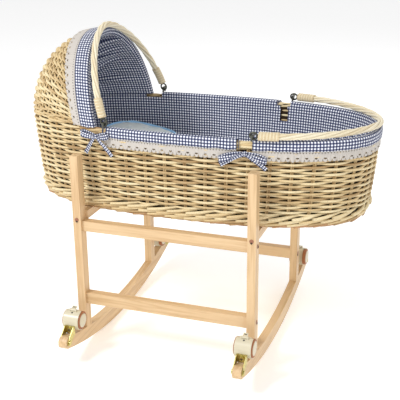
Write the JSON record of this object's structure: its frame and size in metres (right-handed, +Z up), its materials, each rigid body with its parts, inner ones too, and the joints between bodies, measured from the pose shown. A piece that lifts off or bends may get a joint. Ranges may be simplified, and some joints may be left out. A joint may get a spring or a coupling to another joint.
{
  "type": "moses basket on a rocking stand",
  "caption": "Oval woven willow baby basket with a woven hood, gingham lining and two bail handles, lifted off a pine rocking stand with flip-up twin-wheel casters.",
  "frame": {"origin": "on the floor, under the middle of the whole length and width", "axes": "+X along the basket towards the foot end, +Z up, -Y the near side"},
  "size_m": [0.7889, 0.6106, 0.7037],
  "materials": {
    "pine": "satin",
    "willow": "satin",
    "gingham": "matte",
    "lace": "matte",
    "bedding": "matte",
    "zinc": "satin",
    "bolt_steel": "satin",
    "cream_plastic": "gloss",
    "caster_wheel": "satin"
  },
  "bodies": {
    "stand": {"post_near_head": "pine", "post_near_foot": "pine", "post_far_head": "pine", "post_far_foot": "pine", "rocker_head": "pine", "rocker_foot": "pine", "rail_upper_near": "pine", "rail_upper_far": "pine", "rail_lower_near": "pine", "rail_lower_far": "pine", "cross_board_head": "pine", "cross_board_foot": "pine", "frame_bolts": "bolt_steel", "caster_pivots": "zinc"},
    "basket": {"basket_base": "willow", "basket_wall": "willow", "foot_border": "willow", "rim_border": "willow", "hood_shell": "willow", "basket_lining": "gingham", "rim_lace": "lace", "hood_lining": "gingham", "hood_lace": "lace", "bows": "gingham", "handle_staples": "zinc"},
    "bed_mattress": {"mattress": "bedding"},
    "bed_pillow": {"pillow": "bedding"},
    "head_handle": {"handle_head": "willow", "bindings_head": "willow"},
    "foot_handle": {"handle_foot": "willow", "bindings_foot": "willow"},
    "fork_body_near_head": {"fork_near_head": "zinc", "stem_near_head": "zinc"},
    "caster_body_near_head": {"caster_hood_near_head": "cream_plastic", "axle_near_head": "zinc"},
    "wheel_in_body_near_head": {"wheel_in_near_head": "caster_wheel"},
    "wheel_out_body_near_head": {"wheel_out_near_head": "caster_wheel"},
    "brake_body_near_head": {"brake_near_head": "cream_plastic"},
    "fork_body_near_foot": {"fork_near_foot": "zinc", "stem_near_foot": "zinc"},
    "caster_body_near_foot": {"caster_hood_near_foot": "cream_plastic", "axle_near_foot": "zinc"},
    "wheel_in_body_near_foot": {"wheel_in_near_foot": "caster_wheel"},
    "wheel_out_body_near_foot": {"wheel_out_near_foot": "caster_wheel"},
    "brake_body_near_foot": {"brake_near_foot": "cream_plastic"},
    "fork_body_far_head": {"fork_far_head": "zinc", "stem_far_head": "zinc"},
    "caster_body_far_head": {"caster_hood_far_head": "cream_plastic", "axle_far_head": "zinc"},
    "wheel_in_body_far_head": {"wheel_in_far_head": "caster_wheel"},
    "wheel_out_body_far_head": {"wheel_out_far_head": "caster_wheel"},
    "brake_body_far_head": {"brake_far_head": "cream_plastic"},
    "fork_body_far_foot": {"fork_far_foot": "zinc", "stem_far_foot": "zinc"},
    "caster_body_far_foot": {"caster_hood_far_foot": "cream_plastic", "axle_far_foot": "zinc"},
    "wheel_in_body_far_foot": {"wheel_in_far_foot": "caster_wheel"},
    "wheel_out_body_far_foot": {"wheel_out_far_foot": "caster_wheel"},
    "brake_body_far_foot": {"brake_far_foot": "cream_plastic"}
  },
  "joints": [
    {"name": "basket_lift", "type": "slide", "parent": "stand", "child": "basket", "axis": [0, 0, 1], "range_m": [0, 0.16]},
    {"name": "mattress_lift", "type": "slide", "parent": "basket", "child": "bed_mattress", "axis": [0, 0, 1], "range_m": [0, 0.09]},
    {"name": "pillow_lift", "type": "slide", "parent": "bed_mattress", "child": "bed_pillow", "axis": [0, 0, 1], "range_m": [0, 0.05]},
    {"name": "head_handle_swing", "type": "hinge", "parent": "basket", "child": "head_handle", "pos_m": [-0.1565, 0, 0.52], "axis": [0, 1, 0], "range_deg": [0, 107]},
    {"name": "foot_handle_swing", "type": "hinge", "parent": "basket", "child": "foot_handle", "pos_m": [0.1635, 0, 0.52], "axis": [0, 1, 0], "range_deg": [-172, 0]},
    {"name": "flip_near_head", "type": "hinge", "parent": "stand", "child": "fork_body_near_head", "pos_m": [-0.2165, -0.292, 0.05799], "axis": [1, 0, 0], "range_deg": [0, 270]},
    {"name": "swivel_near_head", "type": "hinge", "parent": "fork_body_near_head", "child": "caster_body_near_head", "pos_m": [-0.2165, -0.243, 0.07549], "axis": [0, 1, 0], "range_deg": [-25, 25]},
    {"name": "roll_in_near_head", "type": "hinge", "parent": "caster_body_near_head", "child": "wheel_in_body_near_head", "pos_m": [-0.2165, -0.243, 0.08949], "axis": [1, 0, 0], "continuous": true},
    {"name": "roll_out_near_head", "type": "hinge", "parent": "caster_body_near_head", "child": "wheel_out_body_near_head", "pos_m": [-0.2165, -0.243, 0.08949], "axis": [1, 0, 0], "continuous": true},
    {"name": "brake_press_near_head", "type": "hinge", "parent": "caster_body_near_head", "child": "brake_body_near_head", "pos_m": [-0.2165, -0.247, 0.11399], "axis": [-1, 0, 0], "range_deg": [0, 15]},
    {"name": "flip_near_foot", "type": "hinge", "parent": "stand", "child": "fork_body_near_foot", "pos_m": [0.1735, -0.292, 0.05799], "axis": [1, 0, 0], "range_deg": [0, 270]},
    {"name": "swivel_near_foot", "type": "hinge", "parent": "fork_body_near_foot", "child": "caster_body_near_foot", "pos_m": [0.1735, -0.243, 0.07549], "axis": [0, 1, 0], "range_deg": [-25, 25]},
    {"name": "roll_in_near_foot", "type": "hinge", "parent": "caster_body_near_foot", "child": "wheel_in_body_near_foot", "pos_m": [0.1735, -0.243, 0.08949], "axis": [1, 0, 0], "continuous": true},
    {"name": "roll_out_near_foot", "type": "hinge", "parent": "caster_body_near_foot", "child": "wheel_out_body_near_foot", "pos_m": [0.1735, -0.243, 0.08949], "axis": [1, 0, 0], "continuous": true},
    {"name": "brake_press_near_foot", "type": "hinge", "parent": "caster_body_near_foot", "child": "brake_body_near_foot", "pos_m": [0.1735, -0.247, 0.11399], "axis": [-1, 0, 0], "range_deg": [0, 15]},
    {"name": "flip_far_head", "type": "hinge", "parent": "stand", "child": "fork_body_far_head", "pos_m": [-0.2165, 0.292, 0.05799], "axis": [-1, 0, 0], "range_deg": [0, 270]},
    {"name": "swivel_far_head", "type": "hinge", "parent": "fork_body_far_head", "child": "caster_body_far_head", "pos_m": [-0.2165, 0.243, 0.07549], "axis": [0, 1, 0], "range_deg": [-25, 25]},
    {"name": "roll_in_far_head", "type": "hinge", "parent": "caster_body_far_head", "child": "wheel_in_body_far_head", "pos_m": [-0.2165, 0.243, 0.08949], "axis": [1, 0, 0], "continuous": true},
    {"name": "roll_out_far_head", "type": "hinge", "parent": "caster_body_far_head", "child": "wheel_out_body_far_head", "pos_m": [-0.2165, 0.243, 0.08949], "axis": [1, 0, 0], "continuous": true},
    {"name": "brake_press_far_head", "type": "hinge", "parent": "caster_body_far_head", "child": "brake_body_far_head", "pos_m": [-0.2165, 0.247, 0.11399], "axis": [1, 0, 0], "range_deg": [0, 15]},
    {"name": "flip_far_foot", "type": "hinge", "parent": "stand", "child": "fork_body_far_foot", "pos_m": [0.1735, 0.292, 0.05799], "axis": [-1, 0, 0], "range_deg": [0, 270]},
    {"name": "swivel_far_foot", "type": "hinge", "parent": "fork_body_far_foot", "child": "caster_body_far_foot", "pos_m": [0.1735, 0.243, 0.07549], "axis": [0, 1, 0], "range_deg": [-25, 25]},
    {"name": "roll_in_far_foot", "type": "hinge", "parent": "caster_body_far_foot", "child": "wheel_in_body_far_foot", "pos_m": [0.1735, 0.243, 0.08949], "axis": [1, 0, 0], "continuous": true},
    {"name": "roll_out_far_foot", "type": "hinge", "parent": "caster_body_far_foot", "child": "wheel_out_body_far_foot", "pos_m": [0.1735, 0.243, 0.08949], "axis": [1, 0, 0], "continuous": true},
    {"name": "brake_press_far_foot", "type": "hinge", "parent": "caster_body_far_foot", "child": "brake_body_far_foot", "pos_m": [0.1735, 0.247, 0.11399], "axis": [1, 0, 0], "range_deg": [0, 15]}
  ]
}
